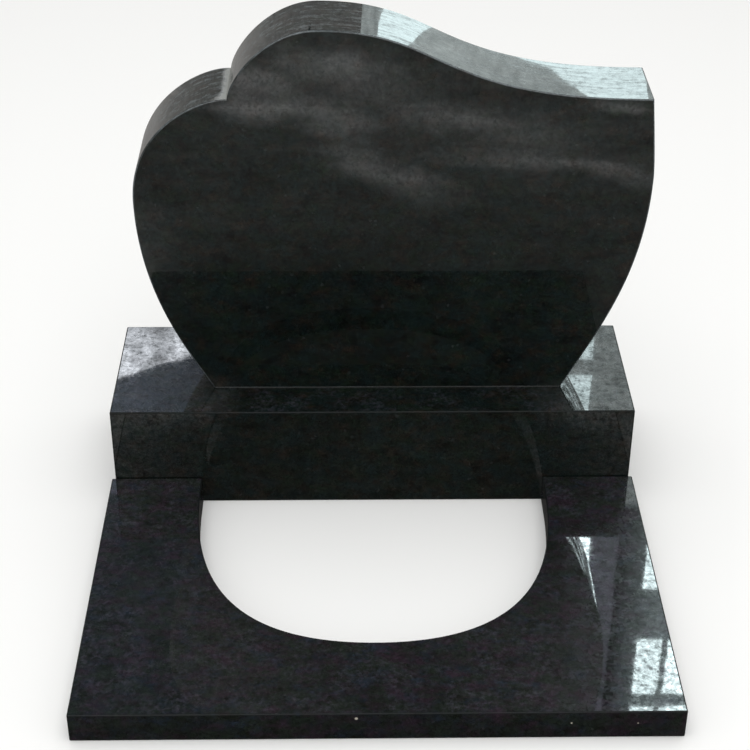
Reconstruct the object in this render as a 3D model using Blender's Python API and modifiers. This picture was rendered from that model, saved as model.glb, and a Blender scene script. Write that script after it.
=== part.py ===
"""Granite memorial in three loose pieces: an upright headstone with a flowing top,
the plain block it stands on, and a flat U-shaped slab laid in front of the block.

Metres, +Z up. The ground is Z = 0, the front faces -Y, and the origin lies on the ground
in the middle of the whole footprint.
"""
import math

import bpy
from mathutils import Vector

# Base block, a plain box.
BLOCK_WIDTH = 0.760
BLOCK_DEPTH = 0.241
BLOCK_HEIGHT = 0.159

# Headstone: overall sizes, then the corners and turning points of its outline. Insets are
# measured inwards from the widest point on the same side, heights from the foot.
STONE_WIDTH = 0.716
STONE_HEIGHT = 0.554
STONE_THICKNESS = 0.112
STONE_SHIFT = 0.027
FOOT_INSET_LEFT = 0.098
FOOT_INSET_RIGHT = 0.107
WIDEST_HEIGHT_LEFT = 0.305
WIDEST_HEIGHT_RIGHT = 0.341
SHOULDER_HEIGHT = 0.457
NOTCH_INSET_LEFT = 0.135
CROWN_INSET_LEFT = 0.256
CORNER_INSET_RIGHT = 0.010

# Flat slab and the opening that runs into it from the block's face.
SLAB_WIDTH = 0.770
SLAB_LENGTH = 0.495
SLAB_THICKNESS = 0.043
OPENING_WIDTH = 0.504
OPENING_LENGTH = 0.363
OPENING_STRAIGHT = 0.038

# Chamfer on every polished edge, and the gap left where two pieces touch.
ARRIS = 0.002
JOINT_GAP = 0.0003

# Straight pieces between two anchors of a curved outline.
CURVE_STEPS = 24

# Caps and walls closer than this are one surface, faces flatter than this are one face, and
# edges sharper than this are arrises.
WELD_DISTANCE = 0.00001
FLAT_ANGLE = math.radians(0.2)
ARRIS_ANGLE = math.radians(35)

# The same near-black granite, a touch bluer on the slab, polished to a mirror.
HEADSTONE_COLOUR = (0.013, 0.014, 0.014)
BLOCK_COLOUR = (0.014, 0.015, 0.015)
SLAB_COLOUR = (0.012, 0.013, 0.014)
POLISH_ROUGHNESS = 0.08

# The slab and the block share the footprint, slab in front.
TOTAL_DEPTH = SLAB_LENGTH + JOINT_GAP + BLOCK_DEPTH
BLOCK_FRONT_Y = TOTAL_DEPTH / 2 - BLOCK_DEPTH
BLOCK_MIDDLE_Y = BLOCK_FRONT_Y + BLOCK_DEPTH / 2
SLAB_BACK_Y = BLOCK_FRONT_Y - JOINT_GAP


def clear_scene():
    for item in list(bpy.data.objects):
        bpy.data.objects.remove(item, do_unlink=True)


def granite(name, colour):
    """Polished stone: a dark dielectric with a sharp surface reflection."""
    material = bpy.data.materials.new(name)
    material.use_nodes = True
    shader = material.node_tree.nodes["Principled BSDF"]
    shader.inputs["Base Color"].default_value = (*colour, 1.0)
    shader.inputs["Roughness"].default_value = POLISH_ROUGHNESS
    shader.inputs["Metallic"].default_value = 0.0
    return material


def heading(degrees):
    """Unit vector in the outline's plane, counter-clockwise from its X axis."""
    angle = math.radians(degrees)
    return Vector((math.cos(angle), math.sin(angle)))


def closed_curve(name, anchors, thickness):
    """Flat closed outline thickened evenly about its own plane.

    Each anchor is (place, arrive, leave). Arrive and leave are (degrees, pull): the way the
    line runs there and how long it keeps to it, as a share of the distance to the
    neighbouring anchor. None makes that side straight.
    """
    data = bpy.data.curves.new(name, "CURVE")
    data.dimensions = "2D"
    data.fill_mode = "BOTH"
    data.extrude = thickness / 2
    data.resolution_u = CURVE_STEPS
    data.render_resolution_u = 0
    spline = data.splines.new("BEZIER")
    spline.bezier_points.add(len(anchors) - 1)
    spline.use_cyclic_u = True
    places = [Vector(anchor[0]) for anchor in anchors]
    for index, (point, anchor) in enumerate(zip(spline.bezier_points, anchors)):
        place = places[index]
        before = (place - places[index - 1]).length
        after = (places[(index + 1) % len(places)] - place).length
        point.co = place.to_3d()
        arrive = anchor[1]
        leave = anchor[2]
        point.handle_left_type = "FREE" if arrive else "VECTOR"
        point.handle_right_type = "FREE" if leave else "VECTOR"
        if arrive:
            point.handle_left = (place - heading(arrive[0]) * arrive[1] * before).to_3d()
        if leave:
            point.handle_right = (place + heading(leave[0]) * leave[1] * after).to_3d()
    return bpy.data.objects.new(name, data)


def chamfer_edges(item):
    """Cut every square edge back by the arris, once the flat faces are single ones."""
    weld = item.modifiers.new("join caps", "WELD")
    weld.merge_threshold = WELD_DISTANCE
    flatten = item.modifiers.new("single flat faces", "DECIMATE")
    flatten.decimate_type = "DISSOLVE"
    flatten.angle_limit = FLAT_ANGLE
    bevel = item.modifiers.new("arris", "BEVEL")
    bevel.width = ARRIS
    bevel.segments = 1
    bevel.limit_method = "ANGLE"
    bevel.angle_limit = ARRIS_ANGLE
    bevel.use_clamp_overlap = False


def base_block(material):
    """Plain block on the ground at the back of the plot."""
    bpy.ops.mesh.primitive_cube_add(size=1)
    block = bpy.context.object
    block.name = "base_block"
    block.scale = (BLOCK_WIDTH, BLOCK_DEPTH, BLOCK_HEIGHT)
    bpy.ops.object.transform_apply(location=False, rotation=False, scale=True)
    block.location = (0.0, BLOCK_MIDDLE_Y, BLOCK_HEIGHT / 2)
    block.data.materials.append(material)
    chamfer_edges(block)
    return block


def headstone(material):
    """Upright slab: a small lobe at the left shoulder, a step up to a tall round lobe, and a
    long wave down to a square corner on the right. Both sides swell and draw in to the foot.
    """
    left = -STONE_WIDTH / 2
    right = STONE_WIDTH / 2
    foot_left = (left + FOOT_INSET_LEFT, 0.0)
    widest_left = (left, WIDEST_HEIGHT_LEFT)
    notch = (left + NOTCH_INSET_LEFT, SHOULDER_HEIGHT)
    crown = (left + CROWN_INSET_LEFT, STONE_HEIGHT)
    corner = (right - CORNER_INSET_RIGHT, SHOULDER_HEIGHT)
    widest_right = (right, WIDEST_HEIGHT_RIGHT)
    foot_right = (right - FOOT_INSET_RIGHT, 0.0)
    anchors = [
        (foot_left, None, (118, 0.20)),
        (widest_left, (90, 0.48), (90, 0.55)),
        (notch, (-4, 0.18), (84, 0.20)),
        (crown, (0, 0.43), (0, 0.38)),
        (corner, (0, 0.65), (-86, 0.18)),
        (widest_right, (-90, 0.23), (-90, 0.43)),
        (foot_right, (-117, 0.29), None),
    ]
    stone = closed_curve("headstone", anchors, STONE_THICKNESS)
    stone.rotation_euler = (math.pi / 2, 0.0, 0.0)
    stone.location = (STONE_SHIFT, BLOCK_MIDDLE_Y, BLOCK_HEIGHT + JOINT_GAP)
    stone.data.materials.append(material)
    chamfer_edges(stone)
    return stone


def flat_slab(material):
    """Slab on the ground, butted against the block. Its opening has short straight sides
    behind and a wide round front, and the block's face closes it.
    """
    half_width = SLAB_WIDTH / 2
    half_opening = OPENING_WIDTH / 2
    anchors = [
        ((-half_width, -SLAB_LENGTH), None, None),
        ((half_width, -SLAB_LENGTH), None, None),
        ((half_width, 0.0), None, None),
        ((half_opening, 0.0), None, None),
        ((half_opening, -OPENING_STRAIGHT), None, (-90, 0.46)),
        ((0.0, -OPENING_LENGTH), (180, 0.48), (180, 0.48)),
        ((-half_opening, -OPENING_STRAIGHT), (90, 0.46), None),
        ((-half_opening, 0.0), None, None),
        ((-half_width, 0.0), None, None),
    ]
    slab = closed_curve("flat_slab", anchors, SLAB_THICKNESS)
    slab.location = (0.0, SLAB_BACK_Y, SLAB_THICKNESS / 2)
    slab.data.materials.append(material)
    chamfer_edges(slab)
    return slab


def main():
    clear_scene()
    memorial = bpy.data.collections.new("granite memorial")
    bpy.context.scene.collection.children.link(memorial)
    pieces = [
        base_block(granite("polished granite, block", BLOCK_COLOUR)),
        headstone(granite("polished granite, headstone", HEADSTONE_COLOUR)),
        flat_slab(granite("polished granite, slab", SLAB_COLOUR)),
    ]
    for piece in pieces:
        for home in list(piece.users_collection):
            home.objects.unlink(piece)
        memorial.objects.link(piece)


main()
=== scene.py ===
# %% [markdown]
# # A polished granite memorial
#
# Three loose stones: an upright headstone with a wave for a top edge, the plain block that
# carries it, and a flat U-shaped slab on the ground in front. All three are sawn from
# near-black granite and polished to a mirror, so most of what the eye sees is reflection.
#
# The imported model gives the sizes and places. The stones are then built again here with
# finer curves and rounded arrises, because a mirror shows every facet of a coarse one.

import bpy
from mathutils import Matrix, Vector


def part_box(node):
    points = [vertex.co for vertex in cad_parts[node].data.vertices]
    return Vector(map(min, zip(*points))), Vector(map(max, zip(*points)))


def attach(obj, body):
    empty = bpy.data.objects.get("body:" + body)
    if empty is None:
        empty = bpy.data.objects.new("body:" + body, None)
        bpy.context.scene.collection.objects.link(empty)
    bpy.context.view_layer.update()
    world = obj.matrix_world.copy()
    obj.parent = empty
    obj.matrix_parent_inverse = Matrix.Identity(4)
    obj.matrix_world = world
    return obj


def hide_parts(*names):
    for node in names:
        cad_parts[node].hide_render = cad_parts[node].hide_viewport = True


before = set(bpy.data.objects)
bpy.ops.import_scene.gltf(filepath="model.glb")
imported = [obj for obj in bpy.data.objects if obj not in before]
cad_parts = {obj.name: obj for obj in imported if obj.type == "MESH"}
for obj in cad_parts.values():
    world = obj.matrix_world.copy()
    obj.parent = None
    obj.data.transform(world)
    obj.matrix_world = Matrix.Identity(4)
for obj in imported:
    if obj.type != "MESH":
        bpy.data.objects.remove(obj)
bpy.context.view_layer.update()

# %% Libraries and scene settings
import math

import bmesh
import bpy
from mathutils import Matrix, Vector

MM = 0.001
scene = bpy.context.scene

# The standard view keeps near-black stone black, where a film-like one would lift it.
scene.view_settings.view_transform = "Standard"
scene.view_settings.look = "None"

# %% [markdown]
# ## The outline of a curved stone
#
# A mason cuts such a stone from a slab of even thickness, along a template. The template
# here is a closed Bezier line with few anchors: at each one, the way the line runs and how
# long it keeps to it. The same anchors give the same outline in the CAD model, only with
# fewer steps. A subdivision surface would also give a smooth edge, but it would round the
# notch and the corners, which are crisp on the stone.

# %% Template line
CURVE_STEPS = 64  # short straight pieces between two anchors


def heading(degrees):
    """Unit vector, counter-clockwise from the template's own X axis."""
    angle = math.radians(degrees)
    return Vector((math.cos(angle), math.sin(angle)))


def template_line(name, anchors):
    """Closed flat line through anchors of (place, arrive, leave), made a mesh of edges.

    Arrive and leave are (degrees, pull), pull being a share of the distance to the
    neighbouring anchor, or None where that side is straight.
    """
    data = bpy.data.curves.new(name, "CURVE")
    data.dimensions = "2D"
    data.fill_mode = "NONE"
    data.resolution_u = CURVE_STEPS
    data.render_resolution_u = 0
    spline = data.splines.new("BEZIER")
    spline.bezier_points.add(len(anchors) - 1)
    spline.use_cyclic_u = True
    places = [Vector(anchor[0]) for anchor in anchors]
    for index, (point, anchor) in enumerate(zip(spline.bezier_points, anchors)):
        place, arrive, leave = places[index], anchor[1], anchor[2]
        before = (place - places[index - 1]).length
        after = (places[(index + 1) % len(places)] - place).length
        point.co = place.to_3d()
        point.handle_left_type = "FREE" if arrive else "VECTOR"
        point.handle_right_type = "FREE" if leave else "VECTOR"
        if arrive:
            point.handle_left = (place - heading(arrive[0]) * arrive[1] * before).to_3d()
        if leave:
            point.handle_right = (place + heading(leave[0]) * leave[1] * after).to_3d()
    curve = bpy.data.objects.new(name, data)
    scene.collection.objects.link(curve)
    bpy.context.view_layer.update()
    line = bpy.data.meshes.new_from_object(curve.evaluated_get(bpy.context.evaluated_depsgraph_get()))
    bpy.data.objects.remove(curve)
    print(name, "template:", len(line.vertices), "points")
    return line


# %% [markdown]
# ## From the template to a solid with arrises
#
# The line is filled to one flat face and extruded through the stone's thickness. Every
# sharp edge is then beveled by the mason's arris, the narrow strip rubbed along an edge so
# that it doesn't chip. Three segments round it slightly, as a hand pad does. The strips get
# a material of their own, because the polishing heads never reach them.

# %% Solids with rubbed arrises
ARRIS = 2.0 * MM
ARRIS_SEGMENTS = 3
SHARP = math.radians(35)
POLISHED, RUBBED, SAWN = 0, 1, 2  # the order of each stone's materials


def fill_and_thicken(line, thickness):
    """A bmesh of the template filled and given its thickness, centred on its plane."""
    solid = bmesh.new()
    solid.from_mesh(line)
    bmesh.ops.remove_doubles(solid, verts=solid.verts[:], dist=0.01 * MM)
    cap = bmesh.ops.contextual_create(solid, geom=solid.edges[:])["faces"]
    bmesh.ops.translate(solid, verts=solid.verts[:], vec=(0, 0, -thickness / 2))
    grown = bmesh.ops.extrude_face_region(solid, geom=cap, use_keep_orig=True)["geom"]
    top = [item for item in grown if isinstance(item, bmesh.types.BMVert)]
    bmesh.ops.translate(solid, verts=top, vec=(0, 0, thickness))
    bmesh.ops.recalc_face_normals(solid, faces=solid.faces[:])
    return solid


def rub_arrises(solid):
    """Bevel every sharp outer edge and hand the strips to the rubbed material.

    A pad can't reach into an inner corner, such as the notch, so that edge stays crisp.
    """
    sharp = [edge for edge in solid.edges if edge.calc_face_angle(0) > SHARP and edge.is_convex]
    for edge in solid.edges:
        if edge.calc_face_angle(0) > SHARP and not edge.is_convex:
            edge.smooth = False
    strips = bmesh.ops.bevel(
        solid, geom=sharp, offset=ARRIS, offset_type="OFFSET", affect="EDGES",
        segments=ARRIS_SEGMENTS, profile=0.5, material=-1, clamp_overlap=False)
    for face in strips["faces"]:
        face.material_index = RUBBED
    return len(sharp)


def finish_stone(name, solid, materials, node):
    """Turn the bmesh into the piece that stands for a CAD node."""
    for face in solid.faces:
        face.smooth = True
        if face.normal.z < -0.99 and face.material_index == POLISHED:
            face.material_index = SAWN
    mesh = bpy.data.meshes.new(name)
    solid.to_mesh(mesh)
    solid.free()
    for material in materials:
        mesh.materials.append(material)
    stone = bpy.data.objects.new(name, mesh)
    scene.collection.objects.link(stone)
    # Large faces keep their own flat normals, so a mirror face stays flat up to its arris.
    even = stone.modifiers.new("flat faces stay flat", "WEIGHTED_NORMAL")
    even.mode = "FACE_AREA"
    even.weight = 100
    even.keep_sharp = True
    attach(stone, "root")
    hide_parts(node)
    low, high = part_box(node)
    own = [Vector(v.co) for v in mesh.vertices]
    print(name, len(mesh.polygons), "faces, CAD", [round(v, 4) for v in (*low, *high)],
          "own", [round(f(v[i] for v in own), 4) for f in (min, max) for i in range(3)])
    return stone


# %% [markdown]
# ## What near-black granite looks like
#
# Trade "black granite" is a dark igneous rock: laths of grey-green feldspar and
# dark pyroxene a few millimetres long, with flakes of mica. Polished, it shows
# - a body colour close to black, broken into plum, slate and bottle-green patches,
# - a mirror reflection, because the surface is ground to below a thousandth of a millimetre,
# - dull specks in bright reflections, where soft mica tears out instead of polishing.
#
# A photograph of granite could be projected on the stones, but it would stretch round the
# arrises and end at its borders. Noise and cell patterns in the stone's own space run
# through the solid as the real grain does, so faces that meet share it.

# %% Helpers for materials
MIXED_NUMBER, MIXED_COLOUR = 0, 2  # outputs of a Mix node, which share one name


def srgb(code):
    """Linear colour from a hex code as a paint program shows it."""
    parts = [int(code[i:i + 2], 16) / 255 for i in (1, 3, 5)]
    linear = [p / 12.92 if p <= 0.04045 else ((p + 0.055) / 1.055) ** 2.4 for p in parts]
    return (*linear, 1.0)


def add(tree, kind, settings, links=None):
    """Add a node. Settings go to its sockets or properties, links join sockets to outputs."""
    made = tree.nodes.new(kind)
    sockets = {socket.identifier: socket for socket in made.inputs}
    for name, value in settings.items():
        if name in sockets:
            sockets[name].default_value = value
        else:
            setattr(made, name, value)
    for name, output in (links or {}).items():
        tree.links.new(output, sockets[name])
    return made


def per_metre(size_in_mm):
    """Scale of a pattern whose features are this many millimetres across."""
    return 1000.0 / size_in_mm


# %% [markdown]
# ## Granite, shared by the three stones
#
# One function builds the body of the rock, and each stone places its own block of it by
# shifting the pattern. The pale drifts on the headstone are no part of the rock. They are
# light that its face mirrors, and come with the studio below.

# %% Body of the rock
GRAIN_MM = 3.6    # crystals, which are nearer 2 mm, drawn coarser so that they show
PATCH_MM = 22.0   # colour patches
CLOUD_MM = 80.0   # slow change of tone across a face

NEAR_BLACK = srgb("#090b0b")
OLIVE_BLACK = srgb("#0c0d0a")
OLIVE = srgb("#10130d")
PLUM = srgb("#251a23")
SLATE = srgb("#18202a")
TEAL = srgb("#101a1a")
BOTTLE_GREEN = srgb("#121c14")
MOSS = srgb("#171e18")
UMBER = srgb("#1f1a14")
FELDSPAR = srgb("#404445")


def rock_body(tree, shift, tints):
    """Where the pattern lies, its colour, a value per crystal and a value per patch.

    Shift moves the pattern, so that each stone is cut from its own place in the quarry.
    Tints are the ground colour and the three that break it.
    """
    where = add(tree, "ShaderNodeTexCoord", {})
    placed = add(tree, "ShaderNodeMapping", {"Location": shift}, {"Vector": where.outputs["Object"]})
    wobble = add(tree, "ShaderNodeTexNoise", {"Scale": per_metre(6.0), "Detail": 2.0},
                 {"Vector": placed.outputs["Vector"]})
    pushed = add(tree, "ShaderNodeVectorMath",
                 {"operation": "MULTIPLY_ADD", "Vector_001": (2.5 * MM, 2.5 * MM, 2.5 * MM)},
                 {"Vector": wobble.outputs["Color"], "Vector_002": placed.outputs["Vector"]})
    laid = add(tree, "ShaderNodeMapping", {"Scale": (0.7, 1.0, 1.0)}, {"Vector": pushed.outputs["Vector"]})
    patches = add(tree, "ShaderNodeTexNoise",
                  {"Scale": per_metre(PATCH_MM), "Detail": 7.0, "Roughness": 0.72},
                  {"Vector": laid.outputs["Vector"]})
    split = add(tree, "ShaderNodeSeparateColor", {}, {"Color": patches.outputs["Color"]})
    colour = None
    for channel, tint in zip(("Red", "Green", "Blue"), tints[1:]):
        share = add(tree, "ShaderNodeMapRange",
                    {"From Min": 0.43, "From Max": 0.60, "To Min": 0.0, "To Max": 0.95},
                    {"Value": split.outputs[channel]})
        below = {} if colour is None else {"A_Color": colour}
        colour = add(tree, "ShaderNodeMix",
                     {"data_type": "RGBA", "A_Color": tints[0], "B_Color": tint},
                     {"Factor_Float": share.outputs["Result"], **below}).outputs[MIXED_COLOUR]
    cloud = add(tree, "ShaderNodeTexNoise", {"Scale": per_metre(CLOUD_MM), "Detail": 2.0},
                {"Vector": placed.outputs["Vector"]})
    slow = add(tree, "ShaderNodeMapRange", {"From Min": 0.3, "From Max": 0.7, "To Min": 0.8, "To Max": 1.2},
               {"Value": cloud.outputs["Fac"]})
    grains = add(tree, "ShaderNodeTexVoronoi", {"Scale": per_metre(GRAIN_MM), "Randomness": 1.0},
                 {"Vector": pushed.outputs["Vector"]})
    tone = add(tree, "ShaderNodeSeparateColor", {}, {"Color": grains.outputs["Color"]})
    shade = add(tree, "ShaderNodeMapRange", {"To Min": 0.6, "To Max": 1.15},
                {"Value": tone.outputs["Red"]})
    both = add(tree, "ShaderNodeMath", {"operation": "MULTIPLY"},
               {"Value": slow.outputs["Result"], "Value_001": shade.outputs["Result"]})
    colour = add(tree, "ShaderNodeMix",
                 {"data_type": "RGBA", "blend_type": "MULTIPLY", "Factor_Float": 1.0},
                 {"A_Color": colour, "B_Color": both.outputs["Value"]}).outputs[MIXED_COLOUR]
    fleck = add(tree, "ShaderNodeMapRange", {"From Min": 0.99, "From Max": 1.0, "To Max": 0.25},
                {"Value": tone.outputs["Green"]})
    colour = add(tree, "ShaderNodeMix", {"data_type": "RGBA", "B_Color": FELDSPAR},
                 {"A_Color": colour, "Factor_Float": fleck.outputs["Result"]}).outputs[MIXED_COLOUR]
    return placed.outputs["Vector"], colour, tone.outputs["Blue"], patches.outputs["Fac"]


# %% [markdown]
# ## Mirror polish
#
# Resin-bonded diamond pads take granite down to a mirror. Its refractive index, about
# 1.54, sets how much it reflects. The minerals give a roughness of nearly nothing, the
# torn mica more, and very faint waves left by the polishing head bend straight
# reflections a little. A stone that has stood outside also carries a thin film, which
# spreads a soft haze round every bright reflection: a rough coat over part of the mirror.
# On faces that look up, thin clusters of dust lie on top and grey the black a little. The same mauve film
# is also painted light: it makes the tops paler, as if lit from above.

# %% Polished granite
GRANITE_IOR = 1.54
HAZE_ROUGHNESS = 0.32
BROKEN_PALE = srgb("#aca69a")
# Mauve grey of the dust on the tops, which also stands for painted light falling on them.
DUST_AND_TOP_LIGHT_FILM = srgb("#8c879e")


def pale_spots(tree, colour, spots):
    """Break small pale spots, as (x, y, z, radius), into a colour."""
    for x, y, z, radius in spots:
        where = add(tree, "ShaderNodeTexCoord", {})
        away = add(tree, "ShaderNodeVectorMath", {"operation": "DISTANCE", "Vector_001": (x, y, z)},
                   {"Vector": where.outputs["Object"]})
        near = add(tree, "ShaderNodeMapRange", {"From Min": radius, "From Max": 0.6 * radius},
                   {"Value": away.outputs["Value"]})
        colour = add(tree, "ShaderNodeMix", {"data_type": "RGBA", "B_Color": BROKEN_PALE},
                     {"A_Color": colour, "Factor_Float": near.outputs["Result"]}).outputs[MIXED_COLOUR]
    return colour


def dust_and_painted_top_light(tree, place, colour, dust_and_top_light):
    """Lay thin clusters of dust and painted top light over a colour, only where a face looks straight up.
    """
    where = add(tree, "ShaderNodeTexCoord", {})
    facing = add(tree, "ShaderNodeSeparateXYZ", {}, {"Vector": where.outputs["Normal"]})
    level = add(tree, "ShaderNodeMapRange", {"From Min": 0.9, "From Max": 0.99, "To Max": dust_and_top_light},
                {"Value": facing.outputs["Z"]})
    clusters = add(tree, "ShaderNodeTexNoise", {"Scale": per_metre(8.0), "Detail": 7.0, "Roughness": 0.8},
                   {"Vector": place})
    lying = add(tree, "ShaderNodeMapRange", {"From Min": 0.48, "From Max": 0.72},
                {"Value": clusters.outputs["Fac"]})
    heaps = add(tree, "ShaderNodeTexNoise", {"Scale": per_metre(35.0), "Detail": 2.0}, {"Vector": place})
    heaped = add(tree, "ShaderNodeMapRange", {"From Min": 0.38, "From Max": 0.66},
                 {"Value": heaps.outputs["Fac"]})
    gathered = add(tree, "ShaderNodeMath", {"operation": "MULTIPLY"},
                   {"Value": lying.outputs["Result"], "Value_001": heaped.outputs["Result"]})
    share = add(tree, "ShaderNodeMath", {"operation": "MULTIPLY"},
                {"Value": level.outputs["Result"], "Value_001": gathered.outputs["Value"]})
    return add(tree, "ShaderNodeMix", {"data_type": "RGBA", "B_Color": DUST_AND_TOP_LIGHT_FILM},
               {"A_Color": colour, "Factor_Float": share.outputs["Value"]}).outputs[MIXED_COLOUR]


def polished_granite(name, shift, tints, haze, speckle, dust=0.0, spots=()):
    """Mirror-polished rock.

    Haze is the share of the surface that is filmed over, speckle how unevenly the minerals
    mirror, dust how thick the dust lies on upward faces together with painted light that makes
    them paler, and spots are where a grain has broken out.
    """
    material = bpy.data.materials.new(name)
    material.use_nodes = True
    tree = material.node_tree
    surface = tree.nodes["Principled BSDF"]
    surface.inputs["IOR"].default_value = GRANITE_IOR
    surface.inputs["Coat Roughness"].default_value = HAZE_ROUGHNESS
    place, colour, crystal, patch = rock_body(tree, shift, tints)
    # Dust, and painted light that makes upward faces paler.
    colour = dust_and_painted_top_light(tree, place, colour, dust)
    tree.links.new(pale_spots(tree, colour, spots), surface.inputs["Base Color"])
    gloss = add(tree, "ShaderNodeMapRange",
                {"From Min": 0.4, "From Max": 1.0, "To Min": 0.018, "To Max": 0.04},
                {"Value": crystal})
    tree.links.new(gloss.outputs["Result"], surface.inputs["Roughness"])
    dots = add(tree, "ShaderNodeMapRange", {"To Min": 0.2 * haze, "To Max": 1.8 * haze}, {"Value": crystal})
    smears = add(tree, "ShaderNodeMapRange",
                 {"From Min": 0.35, "From Max": 0.65, "To Min": 0.5, "To Max": 1.5},
                 {"Value": patch})
    film = add(tree, "ShaderNodeMath", {"operation": "MULTIPLY"},
               {"Value": dots.outputs["Result"], "Value_001": smears.outputs["Result"]})
    tree.links.new(film.outputs["Value"], surface.inputs["Coat Weight"])
    # Each mineral mirrors a little more or less than its neighbour.
    grit = add(tree, "ShaderNodeTexNoise", {"Scale": per_metre(11.0), "Detail": 7.0, "Roughness": 0.8},
               {"Vector": place})
    mixed = add(tree, "ShaderNodeMath", {"operation": "MULTIPLY_ADD", "Value_001": 0.12},
                {"Value": crystal, "Value_002": grit.outputs["Fac"]})
    mirror = add(tree, "ShaderNodeMapRange",
                 {"From Min": 0.41, "From Max": 0.71, "To Min": 0.5 + speckle, "To Max": 0.5 - speckle},
                 {"Value": mixed.outputs["Value"]})
    tree.links.new(mirror.outputs["Result"], surface.inputs["Specular IOR Level"])
    waves = add(tree, "ShaderNodeTexNoise", {"Scale": per_metre(45.0), "Detail": 1.0}, {"Vector": place})
    ripple = add(tree, "ShaderNodeBump", {"Strength": 1.0, "Distance": 0.03 * MM},
                 {"Height": waves.outputs["Fac"]})
    tree.links.new(ripple.outputs["Normal"], surface.inputs["Normal"])
    return material


# %% [markdown]
# ## Hand-polished edge
#
# The machine polishes flat faces. The curved edge of the headstone is done with a hand
# tool, run along the curve, and keeps fine lines that follow it: streaks that are a little
# duller and greyer. Stone dust stays behind in the notch.
#
# The lines run along the outline and change across the thickness, so noise squeezed hard
# across the thickness and drawn out the other two ways gives them everywhere. Real lines are
# about 3 mm apart. They are drawn 8 mm apart, so that they show from the front.

# %% Hand-polished edge
STREAK_GREY = srgb("#6c7273")
DUST_GREY = srgb("#aeb0ab")
DUST_THINS = (1.6, 0.0, 0.6)  # how quickly the dust ends sideways, along the notch and upwards
DUST_LIFT = 2 * MM            # its middle above the notch
DUST_WIDENS = 25 * MM         # depth behind the front face over which it widens


def hand_polished_granite(name, shift, tints, notch):
    """Edge of the headstone. Notch is the front end of the inner corner that holds dust."""
    material = polished_granite(name, shift, tints, haze=0.1, speckle=0.2)
    tree = material.node_tree
    surface = tree.nodes["Principled BSDF"]
    where = add(tree, "ShaderNodeTexCoord", {})
    drawn = add(tree, "ShaderNodeMapping", {"Scale": (9.0, per_metre(8.0), 9.0)},
                {"Vector": where.outputs["Object"]})
    lines = add(tree, "ShaderNodeTexNoise", {"Scale": 1.0, "Detail": 4.0, "Roughness": 0.7},
                {"Vector": drawn.outputs["Vector"]})
    dull = add(tree, "ShaderNodeMapRange",
               {"From Min": 0.50, "From Max": 0.80, "To Min": 0.02, "To Max": 0.16},
               {"Value": lines.outputs["Fac"]})
    smears = add(tree, "ShaderNodeTexNoise", {"Scale": per_metre(11.0), "Detail": 5.0, "Roughness": 0.7},
                 {"Vector": where.outputs["Object"]})
    worn = add(tree, "ShaderNodeMath", {"operation": "MULTIPLY"},
               {"Value": lines.outputs["Fac"], "Value_001": smears.outputs["Fac"]})
    mirror = add(tree, "ShaderNodeMapRange",
                 {"From Min": 0.18, "From Max": 0.34, "To Min": 0.74, "To Max": 0.10},
                 {"Value": worn.outputs["Value"]})
    tree.links.new(mirror.outputs["Result"], surface.inputs["Specular IOR Level"])
    grey = add(tree, "ShaderNodeMapRange", {"From Min": 0.23, "From Max": 0.38, "To Max": 0.65},
               {"Value": worn.outputs["Value"]})
    colour = surface.inputs["Base Color"].links[0].from_socket
    streaked = add(tree, "ShaderNodeMix", {"data_type": "RGBA", "B_Color": STREAK_GREY},
                   {"A_Color": colour, "Factor_Float": grey.outputs["Result"]}).outputs[MIXED_COLOUR]
    # Dust lies in the notch as a narrow band that widens towards the front edge.
    low = (notch[0], notch[1], notch[2] + DUST_LIFT)
    corner = add(tree, "ShaderNodeVectorMath",
                 {"operation": "MULTIPLY_ADD", "Vector_001": DUST_THINS,
                  "Vector_002": [-share * at for share, at in zip(DUST_THINS, low)]},
                 {"Vector": where.outputs["Object"]})
    away = add(tree, "ShaderNodeVectorMath", {"operation": "LENGTH"}, {"Vector": corner.outputs["Vector"]})
    depth = add(tree, "ShaderNodeSeparateXYZ", {}, {"Vector": where.outputs["Object"]})
    wider = add(tree, "ShaderNodeMapRange",
                {"From Min": notch[1], "From Max": notch[1] + DUST_WIDENS, "To Min": 0.45, "To Max": 1.0},
                {"Value": depth.outputs["Y"]})
    reach = add(tree, "ShaderNodeMath", {"operation": "MULTIPLY"},
                {"Value": away.outputs["Value"], "Value_001": wider.outputs["Result"]})
    ragged = add(tree, "ShaderNodeMath", {"operation": "MULTIPLY_ADD", "Value_001": 0.030},
                 {"Value": smears.outputs["Fac"], "Value_002": reach.outputs["Value"]})
    dusty = add(tree, "ShaderNodeMapRange", {"From Min": 0.034, "From Max": 0.020, "To Max": 0.56},
                {"Value": ragged.outputs["Value"]})
    matt = add(tree, "ShaderNodeMix", {"data_type": "FLOAT", "B_Float": 0.7},
               {"A_Float": dull.outputs["Result"], "Factor_Float": dusty.outputs["Result"]})
    tree.links.new(matt.outputs[MIXED_NUMBER], surface.inputs["Roughness"])
    dusted = add(tree, "ShaderNodeMix", {"data_type": "RGBA", "B_Color": DUST_GREY},
                 {"A_Color": streaked, "Factor_Float": dusty.outputs["Result"]}).outputs[MIXED_COLOUR]
    tree.links.new(dusted, surface.inputs["Base Color"])
    return material


# %% [markdown]
# ## Rubbed arris and sawn underside
#
# A hand pad leaves the arris satin and a shade greyer than the mirror, with bright beads
# where a grain has broken away. The faces that stand on the ground or on another stone are
# left as the saw cut them: grey, matt and finely scored.

# %% Rubbed and sawn granite
RUBBED_GREY = srgb("#141718")
PALE_RUBBED_GREY = srgb("#50575a")
BROKEN_GREY = srgb("#4a4d4c")
SAWN_GREY = srgb("#4b4f50")
SAW_WAVE_MM = 26.32         # low waves left by the blade, whose marks are finer than a millimetre
WAVE_LENGTH = math.pi / 10  # of a Wave texture at a scale of one


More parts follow.
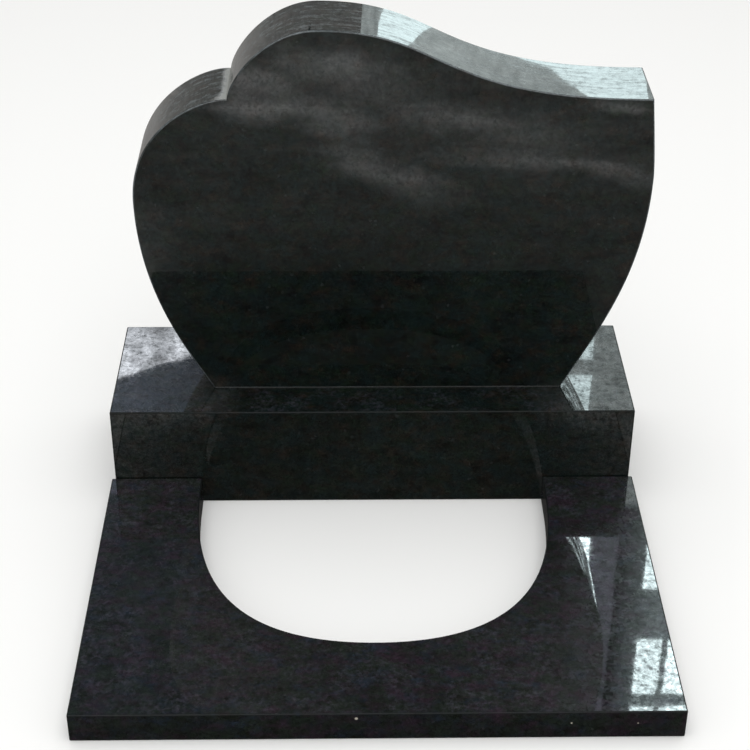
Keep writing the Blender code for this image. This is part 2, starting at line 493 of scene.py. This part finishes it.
def rubbed_granite(name, shift, tints, rubbed, satin, shine, spots):
    """Rubbed arris. Rubbed is its grey, satin its lowest and highest roughness, shine how
    much it mirrors, and spots are where a grain has broken out.
    """
    material = bpy.data.materials.new(name)
    material.use_nodes = True
    tree = material.node_tree
    surface = tree.nodes["Principled BSDF"]
    surface.inputs["IOR"].default_value = GRANITE_IOR
    surface.inputs["Specular IOR Level"].default_value = shine
    place, colour, _, _ = rock_body(tree, shift, tints)
    worn = add(tree, "ShaderNodeTexNoise", {"Scale": per_metre(7.0), "Detail": 4.0, "Roughness": 0.7},
               {"Vector": place})
    knocks = add(tree, "ShaderNodeTexNoise", {"Scale": per_metre(55.0), "Detail": 3.0}, {"Vector": place})
    knocked = add(tree, "ShaderNodeMath", {"operation": "MULTIPLY"},
                  {"Value": worn.outputs["Fac"], "Value_001": knocks.outputs["Fac"]})
    grey = add(tree, "ShaderNodeMapRange",
               {"From Min": 0.15, "From Max": 0.36, "To Min": 0.1, "To Max": 1.0},
               {"Value": knocked.outputs["Value"]})
    beads = add(tree, "ShaderNodeMapRange", {"From Min": 0.68, "From Max": 0.74},
                {"Value": worn.outputs["Fac"]})
    colour = add(tree, "ShaderNodeMix", {"data_type": "RGBA", "B_Color": rubbed},
                 {"A_Color": colour, "Factor_Float": grey.outputs["Result"]}).outputs[MIXED_COLOUR]
    colour = add(tree, "ShaderNodeMix", {"data_type": "RGBA", "B_Color": BROKEN_GREY},
                 {"A_Color": colour, "Factor_Float": beads.outputs["Result"]}).outputs[MIXED_COLOUR]
    tree.links.new(pale_spots(tree, colour, spots), surface.inputs["Base Color"])
    dull = add(tree, "ShaderNodeMapRange", {"To Min": satin[0], "To Max": satin[1]},
               {"Value": worn.outputs["Fac"]})
    tree.links.new(dull.outputs["Result"], surface.inputs["Roughness"])
    rough = add(tree, "ShaderNodeBump", {"Strength": 0.5, "Distance": 0.15 * MM},
                {"Height": worn.outputs["Fac"]})
    tree.links.new(rough.outputs["Normal"], surface.inputs["Normal"])
    return material


def sawn_granite(name, shift, tints):
    """Underside as the saw left it, matt and scored."""
    material = bpy.data.materials.new(name)
    material.use_nodes = True
    tree = material.node_tree
    surface = tree.nodes["Principled BSDF"]
    surface.inputs["IOR"].default_value = GRANITE_IOR
    surface.inputs["Roughness"].default_value = 0.75
    place, colour, _, _ = rock_body(tree, shift, tints)
    colour = add(tree, "ShaderNodeMix", {"data_type": "RGBA", "Factor_Float": 0.8, "B_Color": SAWN_GREY},
                 {"A_Color": colour}).outputs[MIXED_COLOUR]
    tree.links.new(colour, surface.inputs["Base Color"])
    scores = add(tree, "ShaderNodeTexWave",
                 {"Scale": per_metre(SAW_WAVE_MM) * WAVE_LENGTH, "Distortion": 1.5, "Detail": 2.0},
                 {"Vector": place})
    cut = add(tree, "ShaderNodeBump", {"Strength": 0.4, "Distance": 0.2 * MM},
              {"Height": scores.outputs["Fac"]})
    tree.links.new(cut.outputs["Normal"], surface.inputs["Normal"])
    return material


def stone_set(piece, shift, tints, haze, speckle, satin,
              dust=0.0, rubbed=RUBBED_GREY, shine=0.15, spots=()):
    """The three finishes of one stone, in the order POLISHED, RUBBED, SAWN."""
    return [
        polished_granite("mirror-polished black granite, " + piece, shift, tints,
                         haze, speckle, dust, spots),
        rubbed_granite("rubbed arris of black granite, " + piece, shift, tints,
                       rubbed, satin, shine, spots),
        sawn_granite("sawn black granite, " + piece, shift, tints),
    ]


# %% [markdown]
# ## Base block
#
# The plainest stone: a sawn and polished box. A cube operator brings it to size, and the
# same arris runs along all its edges.

# %% Base block
BLOCK_SIZE = (0.760, 0.241, 0.159)
block_low, block_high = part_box("base_block")

block = bmesh.new()
bmesh.ops.create_cube(block, size=1.0)
bmesh.ops.scale(block, vec=BLOCK_SIZE, verts=block.verts[:])
print("block edges rubbed:", rub_arrises(block))
bmesh.ops.translate(block, vec=(block_low + block_high) / 2, verts=block.verts[:])
# dust also paints light on the block's top, making it paler, as well as laying dust there
block_finishes = stone_set("block", (0.31, 0.07, 0.53), (OLIVE_BLACK, UMBER, BOTTLE_GREEN, TEAL),
                           haze=0.22, speckle=0.42, satin=(0.35, 0.6), dust=0.16)
base_block = finish_stone("base_block_polished", block, block_finishes, "base_block")

# %% [markdown]
# ## Headstone
#
# Seen from the front, a small lobe makes the left shoulder, a step leads up to a tall round
# lobe, and a long wave runs down to a square corner on the right. Both sides swell out and
# draw in again to the foot. The template is drawn flat and then stood up.

# %% Headstone
STONE_WIDTH = 0.716
STONE_HEIGHT = 0.554
STONE_THICKNESS = 0.112
LEFT, RIGHT = -STONE_WIDTH / 2, STONE_WIDTH / 2
FOOT_LEFT, FOOT_RIGHT = LEFT + 0.098, RIGHT - 0.107
NOTCH_LEFT = LEFT + 0.135
SHOULDER_HEIGHT = 0.457

headstone_anchors = [
    ((FOOT_LEFT, 0.0), None, (118, 0.20)),
    ((LEFT, 0.305), (90, 0.48), (90, 0.55)),                     # widest place
    ((NOTCH_LEFT, SHOULDER_HEIGHT), (-4, 0.18), (84, 0.20)),     # behind the small lobe
    ((LEFT + 0.256, STONE_HEIGHT), (0, 0.43), (0, 0.38)),        # crown
    ((RIGHT - 0.010, SHOULDER_HEIGHT), (0, 0.65), (-86, 0.18)),  # square corner
    ((RIGHT, 0.341), (-90, 0.23), (-90, 0.43)),                  # widest place
    ((FOOT_RIGHT, 0.0), (-117, 0.29), None),
]
stone_low, stone_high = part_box("headstone")
stone_foot = Vector(((stone_low.x + stone_high.x) / 2, (stone_low.y + stone_high.y) / 2, stone_low.z))

upright = fill_and_thicken(template_line("headstone template", headstone_anchors), STONE_THICKNESS)
print("headstone edges rubbed:", rub_arrises(upright))
bmesh.ops.rotate(upright, cent=(0, 0, 0), matrix=Matrix.Rotation(math.pi / 2, 3, "X"),
                 verts=upright.verts[:])
bmesh.ops.translate(upright, vec=stone_foot, verts=upright.verts[:])
HAND_POLISHED = 3  # a fourth material, after the three of every stone
for face in upright.faces:
    if face.material_index == POLISHED and abs(face.normal.y) < 0.5 and face.normal.z > -0.99:
        face.material_index = HAND_POLISHED
headstone_tints = (NEAR_BLACK, UMBER, BOTTLE_GREEN, TEAL)
headstone_shift = (0.0, 0.0, 0.0)
notch_place = (stone_foot.x + NOTCH_LEFT, stone_low.y, stone_foot.z + SHOULDER_HEIGHT)
headstone_finishes = stone_set("headstone", headstone_shift, headstone_tints, haze=0.06, speckle=0.15,
                               satin=(0.10, 0.30), rubbed=PALE_RUBBED_GREY, shine=0.6)
headstone_finishes.append(hand_polished_granite(
    "hand-polished edge of black granite", headstone_shift, headstone_tints, notch_place))
headstone = finish_stone("headstone_polished", upright, headstone_finishes, "headstone")

# %% [markdown]
# ## Setting compound
#
# The headstone stands on a thin bed of setting compound. A bead of it, pointed off with a
# finger, fills the groove under the front arris and shows as a fine line.

# %% Setting compound
BEAD_HEIGHT = 1.5 * MM
BEAD_DEPTH = 2.4 * MM
BEAD_ENDS_SHORT = 3 * MM    # of the foot's whole width
BEAD_BEHIND = 0.8 * MM      # its middle behind the headstone's front
BEAD_SUNK = 0.05 * MM       # into the block, so that no gap shows

bead_shape = bmesh.new()
bmesh.ops.create_cube(bead_shape, size=1.0)
bmesh.ops.scale(bead_shape, vec=(FOOT_RIGHT - FOOT_LEFT - BEAD_ENDS_SHORT, BEAD_DEPTH, BEAD_HEIGHT),
                verts=bead_shape.verts[:])
bmesh.ops.bevel(bead_shape, geom=bead_shape.edges[:], offset=0.5 * MM, offset_type="OFFSET", affect="EDGES",
                segments=2, profile=0.5, material=-1)
bmesh.ops.translate(bead_shape, verts=bead_shape.verts[:], vec=(
    stone_foot.x + (FOOT_LEFT + FOOT_RIGHT) / 2, stone_low.y + BEAD_BEHIND,
    block_high.z + BEAD_HEIGHT / 2 - BEAD_SUNK))
bead_mesh = bpy.data.meshes.new("setting_compound")
bead_shape.to_mesh(bead_mesh)
bead_shape.free()
# Cured resin with stone flour: matt dark grey, paler than the polished stone beside it.
compound = bpy.data.materials.new("matt grey setting compound")
compound.use_nodes = True
cured = compound.node_tree.nodes["Principled BSDF"].inputs
cured["Base Color"].default_value = srgb("#2b2c2b")
cured["Roughness"].default_value = 0.7
bead_mesh.materials.append(compound)
bead = bpy.data.objects.new("setting_compound", bead_mesh)
scene.collection.objects.link(bead)
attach(bead, "root")
print("bead of compound:", [round(side / MM, 1) for side in bead.dimensions], "mm")

# %% [markdown]
# ## Flat slab
#
# The slab frames the planting place. Its opening runs in from the block with short straight
# sides and a wide round front, so the slab is one U-shaped piece. Its inner walls are
# polished too, because they show.

# %% Flat slab
SLAB_WIDTH = 0.770
SLAB_LENGTH = 0.495
SLAB_THICKNESS = 0.043
HALF_WIDTH = SLAB_WIDTH / 2
HALF_OPENING = 0.504 / 2
OPENING_LENGTH = 0.363
OPENING_STRAIGHT = 0.038

slab_anchors = [
    ((-HALF_WIDTH, -SLAB_LENGTH), None, None),
    ((HALF_WIDTH, -SLAB_LENGTH), None, None),
    ((HALF_WIDTH, 0.0), None, None),
    ((HALF_OPENING, 0.0), None, None),
    ((HALF_OPENING, -OPENING_STRAIGHT), None, (-90, 0.46)),
    ((0.0, -OPENING_LENGTH), (180, 0.48), (180, 0.48)),
    ((-HALF_OPENING, -OPENING_STRAIGHT), (90, 0.46), None),
    ((-HALF_OPENING, 0.0), None, None),
    ((-HALF_WIDTH, 0.0), None, None),
]
slab_low, slab_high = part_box("flat_slab")

flat = fill_and_thicken(template_line("slab template", slab_anchors), SLAB_THICKNESS)
print("slab edges rubbed:", rub_arrises(flat))
bmesh.ops.translate(flat, vec=(0.0, slab_high.y, SLAB_THICKNESS / 2), verts=flat.verts[:])
SLAB_SPOTS = [  # small grains broken out of the front face: place and radius
    (x, slab_low.y, z, radius * MM)
    for x, z, radius in ((-0.027, 0.035, 2.4), (0.241, 0.025, 1.4), (0.324, 0.024, 1.1))
]
# dust also paints light on the slab's top, making it paler, as well as laying dust there
slab_finishes = stone_set("slab", (0.67, 0.21, 0.11), (OLIVE, SLATE, PLUM, MOSS),
                          haze=0.2, speckle=0.40, satin=(0.30, 0.55), dust=0.15, spots=SLAB_SPOTS)
flat_slab = finish_stone("flat_slab_polished", flat, slab_finishes, "flat_slab")

# %% [markdown]
# ## Floor
#
# A plain pale floor. The polished faces would mirror it as a flat grey sheet, so glossy rays
# don't see it and find the dim studio instead.

# %% Floor
FLOOR_REACH = 25.0  # from the middle to each side

floor_mesh = bpy.data.meshes.new("floor")
sheet = bmesh.new()
bmesh.ops.create_grid(sheet, x_segments=1, y_segments=1, size=FLOOR_REACH)
sheet.to_mesh(floor_mesh)
sheet.free()
floor = bpy.data.objects.new("floor", floor_mesh)
scene.collection.objects.link(floor)
floor.visible_glossy = False
painted = bpy.data.materials.new("matt painted studio floor")
painted.use_nodes = True
paint = painted.node_tree.nodes["Principled BSDF"].inputs
paint["Base Color"].default_value = srgb("#fafaf9")
paint["Roughness"].default_value = 0.9
paint["Specular IOR Level"].default_value = 0.0
floor_mesh.materials.append(painted)
print("floor laid")

# %% [markdown]
# ## Studio
#
# Black polished stone is lit by what it mirrors. An even pale surround lights the matt
# things and the floor, with two large soft lights that no mirror shows. Glossy rays meet a
# dim room instead, brighter at eye level than overhead.
#
# One light dome could do all this, but then nothing could be moved on its own. Photographers
# of polished things hang cards instead, and so does this scene.

# %% Surround
world = bpy.data.worlds.new("studio")
scene.world = world
world.use_nodes = True
tree = world.node_tree
tree.nodes.clear()
where = add(tree, "ShaderNodeTexCoord", {})
look = add(tree, "ShaderNodeSeparateXYZ", {}, {"Vector": where.outputs["Generated"]})
room = add(tree, "ShaderNodeValToRGB", {})
as_share = add(tree, "ShaderNodeMapRange", {"From Min": -1.0, "From Max": 1.0},
               {"Value": look.outputs["Z"]})
tree.links.new(as_share.outputs["Result"], room.inputs["Fac"])
ROOM_LEVELS = [  # sine of the angle above the horizon, brightness
    (-1.00, 0.02), (-0.52, 0.04), (-0.478, 0.17), (-0.457, 0.22), (-0.43, 0.26), (-0.38, 0.28),
    (-0.20, 0.40), (0.20, 0.29), (0.50, 0.24), (0.57, 0.25), (0.62, 0.09), (0.75, 0.085), (1.00, 0.20),
]
DAYLIGHT_FROM = 0.55
stops = room.color_ramp.elements
while len(stops) < len(ROOM_LEVELS):
    stops.new(0.5)
for stop, (sine, level) in zip(stops, ROOM_LEVELS):
    stop.position = (sine + 1) / 2
    cool = 0.2 if sine > DAYLIGHT_FROM else -0.03  # blue daylight falls in from above
    stop.color = (level * (1 - cool), level, level * (1 + cool), 1.0)
print("surround:", len(ROOM_LEVELS), "levels")

# %% [markdown]
# ## Streaks of light on the room's floor
#
# The headstone's face mirrors the room's floor in front of it. Long soft streaks of light
# lie there, most of them nearly parallel, as daylight falls through a row of windows. The
# last two brighten the face along its left and right edges. Each streak is a spherical
# gradient squeezed by a Mapping node, in coordinates that spread the direction over a floor
# one metre below.

# %% Streaks
drop = add(tree, "ShaderNodeMath", {"operation": "MULTIPLY", "Value_001": -1.0},
           {"Value": look.outputs["Z"]})
fall = add(tree, "ShaderNodeMath", {"operation": "MAXIMUM", "Value_001": 0.05},
           {"Value": drop.outputs["Value"]})
thrice = add(tree, "ShaderNodeCombineXYZ", {}, {axis: fall.outputs["Value"] for axis in "XYZ"})
spot = add(tree, "ShaderNodeVectorMath", {"operation": "DIVIDE"},
           {"Vector": where.outputs["Generated"], "Vector_001": thrice.outputs["Vector"]})
flat_spot = add(tree, "ShaderNodeVectorMath", {"operation": "MULTIPLY", "Vector_001": (1.0, 1.0, 0.0)},
                {"Vector": spot.outputs["Vector"]})
shred = add(tree, "ShaderNodeTexNoise", {"Scale": 9.0, "Detail": 4.0, "Roughness": 0.65},
            {"Vector": flat_spot.outputs["Vector"]})
FRAY = Vector((0.18, 0.14, 0.0))  # how far noise pushes the streaks' borders about
frayed = add(tree, "ShaderNodeVectorMath", {"operation": "MULTIPLY_ADD", "Vector_001": FRAY},
             {"Vector": shred.outputs["Color"], "Vector_002": flat_spot.outputs["Vector"]})
unshifted = add(tree, "ShaderNodeVectorMath", {"operation": "SUBTRACT", "Vector_001": FRAY / 2},
                {"Vector": frayed.outputs["Vector"]})
STREAKS = [  # place x, y, turn in degrees, half length, half width, brightness
    (-0.017, -2.416, 39, 0.176, 0.117, 1.00),
    (-0.143, -2.355, 41, 0.086, 0.068, 1.10),
    (-0.150, -2.270, 39, 0.110, 0.055, 0.65),
    (-0.050, -2.240, 36, 0.165, 0.068, 1.00),
    (0.165, -2.222, 27, 0.250, 0.085, 0.64),
    (0.048, -2.049, 48, 0.177, 0.066, 0.70),
    (0.300, -2.070, 17, 0.235, 0.045, 0.88),
    (0.410, -2.255, 51, 0.076, 0.034, 0.72),
    (0.080, -2.280, 30, 0.620, 0.260, 0.14),
    (-0.240, -1.760, 74, 0.420, 0.075, 0.36),
    (0.310, -1.690, 113, 0.250, 0.060, 0.12),
]
light_on_floor = room.outputs["Color"]
for x, y, turn, reach, width, gain in STREAKS:
    squeezed = add(tree, "ShaderNodeMapping",
                   {"vector_type": "TEXTURE", "Location": (x, y, 0.0),
                    "Rotation": (0.0, 0.0, math.radians(turn)), "Scale": (reach, width, 1.0)},
                   {"Vector": unshifted.outputs["Vector"]})
    glow = add(tree, "ShaderNodeTexGradient", {"gradient_type": "SPHERICAL"},
               {"Vector": squeezed.outputs["Vector"]})
    soft = add(tree, "ShaderNodeMapRange", {"interpolation_type": "SMOOTHSTEP", "To Max": gain},
               {"Value": glow.outputs["Fac"]})
    light_on_floor = add(
        tree, "ShaderNodeMix", {"data_type": "RGBA", "blend_type": "ADD", "Factor_Float": 1.0},
        {"A_Color": light_on_floor, "B_Color": soft.outputs["Result"]}).outputs[MIXED_COLOUR]
# The whole room is uneven, along about the same slant.
combed = add(tree, "ShaderNodeMapping",
             {"Rotation": (0.0, 0.0, math.radians(-34)), "Scale": (5.0, 22.0, 1.0)},
             {"Vector": flat_spot.outputs["Vector"]})
mottled = add(tree, "ShaderNodeTexNoise", {"Scale": 1.0, "Detail": 5.0, "Roughness": 0.7},
              {"Vector": combed.outputs["Vector"]})
uneven = add(tree, "ShaderNodeMapRange", {"From Min": 0.3, "From Max": 0.7, "To Min": 0.6, "To Max": 1.4},
             {"Value": mottled.outputs["Fac"]})
print("streaks:", len(STREAKS))

# %% [markdown]
# ## Bright sides
#
# Behind the viewer the room is dark in the middle and bright on both sides, above and
# below, with a bright ceiling. A ray finds the upper part after two mirrors, for instance
# off the slab's top and then off the block's face, so both ends of each stone look a little
# hazier than its middle.

# %% Bright sides
steepness = add(tree, "ShaderNodeMath", {"operation": "ABSOLUTE"}, {"Value": look.outputs["Z"]})
aside = add(tree, "ShaderNodeMath", {"operation": "DIVIDE"},
            {"Value": look.outputs["X"], "Value_001": steepness.outputs["Value"]})
centred = add(tree, "ShaderNodeMath", {"operation": "SUBTRACT", "Value_001": 0.04},
              {"Value": aside.outputs["Value"]})
from_middle = add(tree, "ShaderNodeMath", {"operation": "ABSOLUTE"}, {"Value": centred.outputs["Value"]})
frontal = add(tree, "ShaderNodeMapRange", {"From Min": 0.0, "From Max": -0.3}, {"Value": look.outputs["Y"]})
BRIGHT_SIDES = [  # sines where it starts, is full, still is, and ends; share from the middle; brightness
    (0.540, 0.556, 0.61, 0.65, 0.14, 0.27, 1.8),
    (0.538, 0.545, 0.556, 0.565, 0.15, 0.20, 3.2),
    (0.61, 0.66, 0.99, 1.00, -0.20, -0.10, 1.15),
    (0.61, 0.66, 0.99, 1.00, 0.02, 0.16, 1.7),
    (-0.545, -0.555, -0.61, -0.64, 0.21, 0.26, 0.38),
    (0.350, 0.450, 0.49, 0.60, 0.20, 0.32, 1.7),
]
side_light = None
for starts, full, still, ends, inner, outer, gain in BRIGHT_SIDES:
    reached = add(tree, "ShaderNodeMapRange", {"From Min": starts, "From Max": full, "To Max": gain},
                  {"Value": look.outputs["Z"]})
    not_past = add(tree, "ShaderNodeMapRange", {"From Min": ends, "From Max": still},
                   {"Value": look.outputs["Z"]})
    beside = add(tree, "ShaderNodeMapRange", {"From Min": inner, "From Max": outer},
                 {"Value": from_middle.outputs["Value"]})
    facing = frontal.outputs["Result"]
    for share in (reached, not_past, beside):
        facing = add(tree, "ShaderNodeMath", {"operation": "MULTIPLY"},
                     {"Value": facing, "Value_001": share.outputs["Result"]}).outputs["Value"]
    if side_light is not None:
        facing = add(tree, "ShaderNodeMath", {"operation": "ADD"},
                     {"Value": side_light, "Value_001": facing}).outputs["Value"]
    side_light = facing
# Behind the viewer and above, the middle of the room is darker than in front.
overhead = add(tree, "ShaderNodeMapRange", {"From Min": 0.1, "From Max": 0.4}, {"Value": look.outputs["Z"]})
behind = add(tree, "ShaderNodeMath", {"operation": "MULTIPLY"},
             {"Value": overhead.outputs["Result"], "Value_001": frontal.outputs["Result"]})
dimmed = add(tree, "ShaderNodeMapRange", {"To Min": 1.0, "To Max": 0.3}, {"Value": behind.outputs["Value"]})
light_in_room = add(tree, "ShaderNodeMix",
                    {"data_type": "RGBA", "blend_type": "MULTIPLY", "Factor_Float": 1.0},
                    {"A_Color": light_on_floor, "B_Color": dimmed.outputs["Result"]}).outputs[MIXED_COLOUR]
mirrored = add(tree, "ShaderNodeMix", {"data_type": "RGBA", "blend_type": "ADD", "Factor_Float": 1.0},
               {"A_Color": light_in_room, "B_Color": side_light}).outputs[MIXED_COLOUR]
ray = add(tree, "ShaderNodeLightPath", {})
pale = add(tree, "ShaderNodeBackground", {"Color": srgb("#fbfbfa"), "Strength": 0.75})
dim = add(tree, "ShaderNodeBackground", {}, {"Color": mirrored, "Strength": uneven.outputs["Result"]})
choose = add(tree, "ShaderNodeMixShader", {}, {
    "Fac": ray.outputs["Is Glossy Ray"], "Shader": pale.outputs["Background"],
    "Shader_001": dim.outputs["Background"]})
add(tree, "ShaderNodeOutputWorld", {}, {"Surface": choose.outputs["Shader"]})

# %% Soft lights


def soft_light(name, place, tilt, size, level):
    """Large square light that no mirror shows. Level is a quarter of its power per square metre."""
    data = bpy.data.lights.new(name, "AREA")
    data.size = size
    data.energy = level * 4 * size * size
    light = bpy.data.objects.new(name, data)
    light.matrix_world = Matrix.Translation(place) @ Matrix.Rotation(math.radians(tilt), 4, "X")
    light.visible_camera = False
    light.visible_glossy = False
    scene.collection.objects.link(light)


soft_light("overhead", (0.0, 0.0, 4.0), 0.0, 3.6, 1.1)
soft_light("key above the viewer", (0.2, -2.6, 3.6), 36.0, 2.2, 1.3)

# %% [markdown]
# ## Cards for the stones to mirror
#
# A grey card behind on the right greys the wave and the right of the ledge. In front of it
# hang a bright slanting card, for the glint on the wave, and window-like panes that the
# ledge and the slab mirror as crisp shapes. Narrow slivers beside the panes give the
# bundles of bright lines. Dim cards grey the right of the slab and both ends of the block's
# top, and a bright card behind on the left lights the left of the ledge, fading downwards.
# They hang six metres behind, a millimetre in front of one another.

# %% Cards
CARD_PLANE = 6.0
CYAN_WHITE = "#e9fdff"
hung = []


def card(name, corners, level, colour="#ffffff", fade=(0.0, 0.0, -1.0, 0.0), mottle=0.0):
    """Glowing card. Corners are (x, z) in metres, anticlockwise seen from the front.

    Fade is (x, z, from, to): the brightness grows from nothing to full between these two
    distances along that direction. Mottle is how far noise lowers it.
    """
    mesh = bpy.data.meshes.new(name)
    flat_card = bmesh.new()
    depth = CARD_PLANE - MM * len(hung)
    flat_card.faces.new([flat_card.verts.new((x, depth, z)) for x, z in corners])
    flat_card.to_mesh(mesh)
    flat_card.free()
    glow = bpy.data.materials.new("glowing card, " + name)
    glow.use_nodes = True
    tree = glow.node_tree
    tree.nodes.clear()
    light = add(tree, "ShaderNodeEmission", {"Color": srgb(colour), "Strength": level})
    place = add(tree, "ShaderNodeTexCoord", {}).outputs["Object"]
    if mottle or fade[:2] != (0.0, 0.0):
        along = add(tree, "ShaderNodeVectorMath",
                    {"operation": "DOT_PRODUCT", "Vector_001": (fade[0], 0.0, fade[1])},
                    {"Vector": place})
        grown = add(tree, "ShaderNodeMapRange", {"From Min": fade[2], "From Max": fade[3], "To Max": level},
                    {"Value": along.outputs["Value"]})
        cloud = add(tree, "ShaderNodeTexNoise", {"Scale": 6.0, "Detail": 6.0, "Roughness": 0.65},
                    {"Vector": place})
        dappled = add(tree, "ShaderNodeMapRange",
                      {"From Min": 0.35, "From Max": 0.65, "To Min": 1 - mottle},
                      {"Value": cloud.outputs["Fac"]})
        strength = add(tree, "ShaderNodeMath", {"operation": "MULTIPLY"},
                       {"Value": grown.outputs["Result"], "Value_001": dappled.outputs["Result"]})
        tree.links.new(strength.outputs["Value"], light.inputs["Strength"])
    add(tree, "ShaderNodeOutputMaterial", {}, {"Surface": light.outputs["Emission"]})
    mesh.materials.append(glow)
    item = bpy.data.objects.new(name, mesh)
    item.visible_camera = False
    item.visible_shadow = False
    item.visible_diffuse = False
    scene.collection.objects.link(item)
    hung.append(name)


def upright_card(name, left, right, low, high, level, **more):
    card(name, [(left, low), (right, low), (right, high), (left, high)], level, **more)


upright_card("grey card right", 0.74, 2.9, 1.4, 4.55, 2.15, colour="#eefaf9",
             fade=(1.0, 0.0, -4.0, 2.6), mottle=0.5)
upright_card("dim card right", 0.3, 2.9, 4.56, 7.3, 0.84, colour="#e6e8ff",
             fade=(1.0, 0.0, -0.2, 1.35), mottle=0.4)
upright_card("dim card far right", 1.56, 2.9, 4.57, 6.5, 1.85, colour=CYAN_WHITE,
             fade=(1.0, 0.0, 1.58, 1.90), mottle=0.3)
upright_card("dim card left", -1.9, -0.72, 3.55, 4.45, 0.84, colour="#d6e4ff",
             fade=(-1.0, 0.0, 0.41, 1.4), mottle=0.3)
card("glint card",
     [(1.55, 1.72), (1.99, 1.72), (1.88, 2.14), (1.59, 2.69), (1.56, 3.25), (1.13, 3.25), (1.16, 2.60)],
     4.9, colour=CYAN_WHITE, fade=(0.0, 1.0, -4.0, 3.07))
for number, left in enumerate((2.80, 2.87, 2.935)):
    upright_card(f"ledge sliver {number + 1}", left, left + 0.022, 2.9, 3.5, 11.0, colour=CYAN_WHITE)
for number, left in enumerate((3.49, 3.34, 3.19, 3.05)):
    card(f"slab sliver {number + 1}",
         [(left, 3.60), (left + 0.04, 3.60), (left - 0.39, 4.40), (left - 0.43, 4.40)],
         16.0, colour=CYAN_WHITE)
PANES = [  # name, left, right, low, high, brightness
    ("ledge pane low", 0.95, 1.307, 3.635, 3.762, 5.6),
    ("ledge pane high", 0.95, 1.307, 3.872, 4.30, 6.0),
    ("slab pane inner", 0.95, 1.384, 4.755, 5.40, 17.0),
    ("slab pane outer", 1.73, 2.30, 4.70, 5.168, 13.0),
    ("slab pane front inner", 1.733, 1.889, 5.567, 6.035, 13.0),
    ("slab pane front outer", 1.925, 2.30, 5.565, 6.030, 17.0),
    ("slab strip inner", 1.733, 1.889, 6.134, 6.40, 15.0),
    ("slab strip outer", 1.925, 2.30, 6.134, 6.40, 17.0),
]
for pane in PANES:
    upright_card(*pane, colour=CYAN_WHITE)
card("left card", [(-1.83, 3.10), (-0.55, 2.90), (-0.55, 3.61), (-1.83, 4.06)], 10.5,
     colour="#f2f7ff", fade=(0.319, 0.948, 2.6, 3.25), mottle=0.8)
print("cards hung:", len(hung))

# %% [markdown]
# ## Camera
#
# The view of the photograph: from above, nearly straight on, through a long lens. The
# angles were fitted to the corners of the block and the slab.

# %% Camera
LENS = 81.65
CAMERA_PLACE = (-0.0344, -1.9103, 1.5332)
PITCH, YAW, ROLL = 0.5716, 0.0182, 0.0059

view = bpy.data.cameras.new("view")
view.sensor_width = 36.0
view.lens = LENS
view.clip_end = 100.0
camera = bpy.data.objects.new("view", view)
camera.matrix_world = (
    Matrix.Translation(CAMERA_PLACE)
    @ Matrix.Rotation(-YAW, 4, "Z")
    @ Matrix.Rotation(math.pi / 2 - PITCH, 4, "X")
    @ Matrix.Rotation(ROLL, 4, "Z"))
scene.collection.objects.link(camera)
scene.camera = camera
